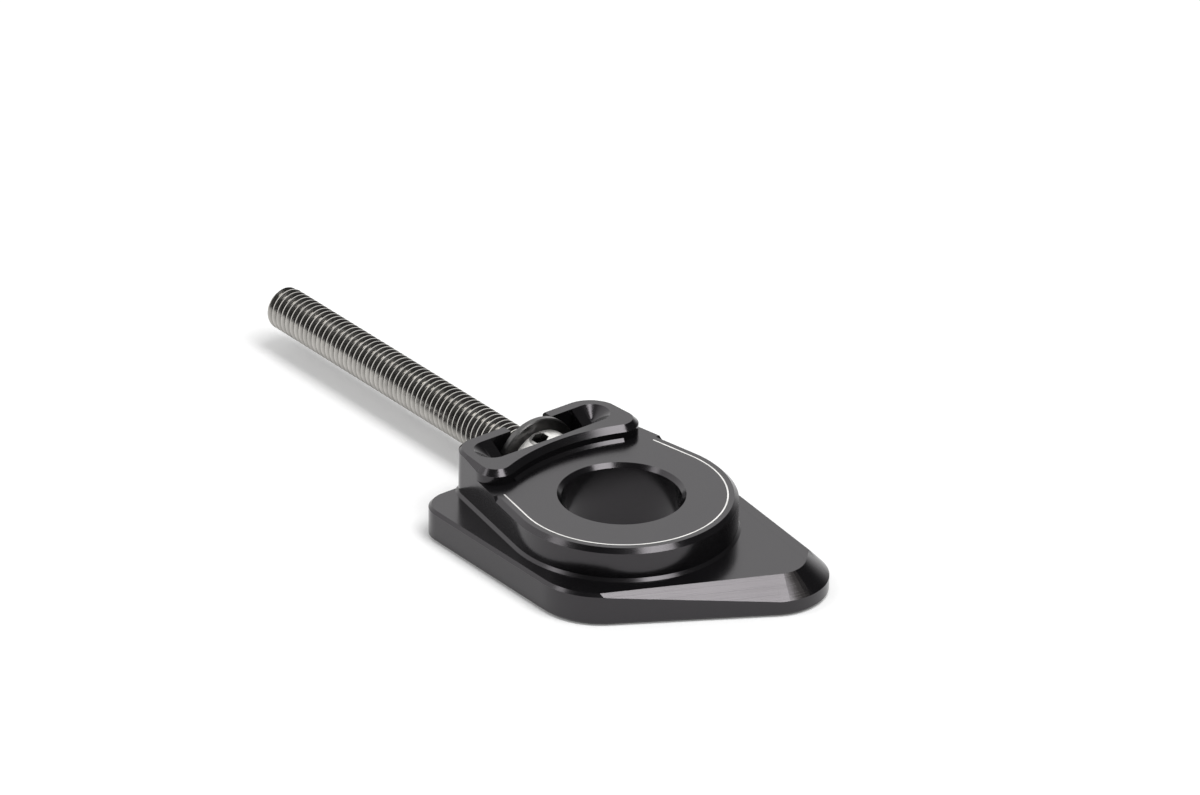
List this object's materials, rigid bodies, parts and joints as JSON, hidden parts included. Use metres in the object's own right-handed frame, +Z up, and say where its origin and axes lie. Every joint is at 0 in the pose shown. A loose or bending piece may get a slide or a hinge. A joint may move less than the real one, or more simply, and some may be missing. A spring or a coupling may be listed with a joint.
{
  "type": "motorcycle chain adjuster",
  "caption": "Milled axle block with a bored round boss, a bevelled pointed base plate and a pocketed end bar that holds a turning threaded spindle.",
  "frame": {"origin": "axis of the axle bore, at the underside of the base plate", "axes": "X along the spindle at rest with its free end towards -X, Z up and square to the base plate, parallel to the axle bore"},
  "size_m": [0.1001, 0.0348, 0.0121],
  "materials": {
    "black_anodised": "satin black anodised",
    "dark_steel": "turned, dark oxide",
    "stainless": "turned stainless",
    "screw_steel": "bright stainless"
  },
  "bodies": {
    "block": {"axle_block": "black_anodised", "thrust_washer": "dark_steel"},
    "spindle": {"spindle": "stainless", "collar": "stainless", "set_screw": "screw_steel"}
  },
  "joints": [
    {"name": "spindle_turn", "type": "hinge", "parent": "block", "child": "spindle", "pos_m": [-0.0184, 0, 0.0057], "axis": [1, 0, 0], "continuous": true}
  ]
}
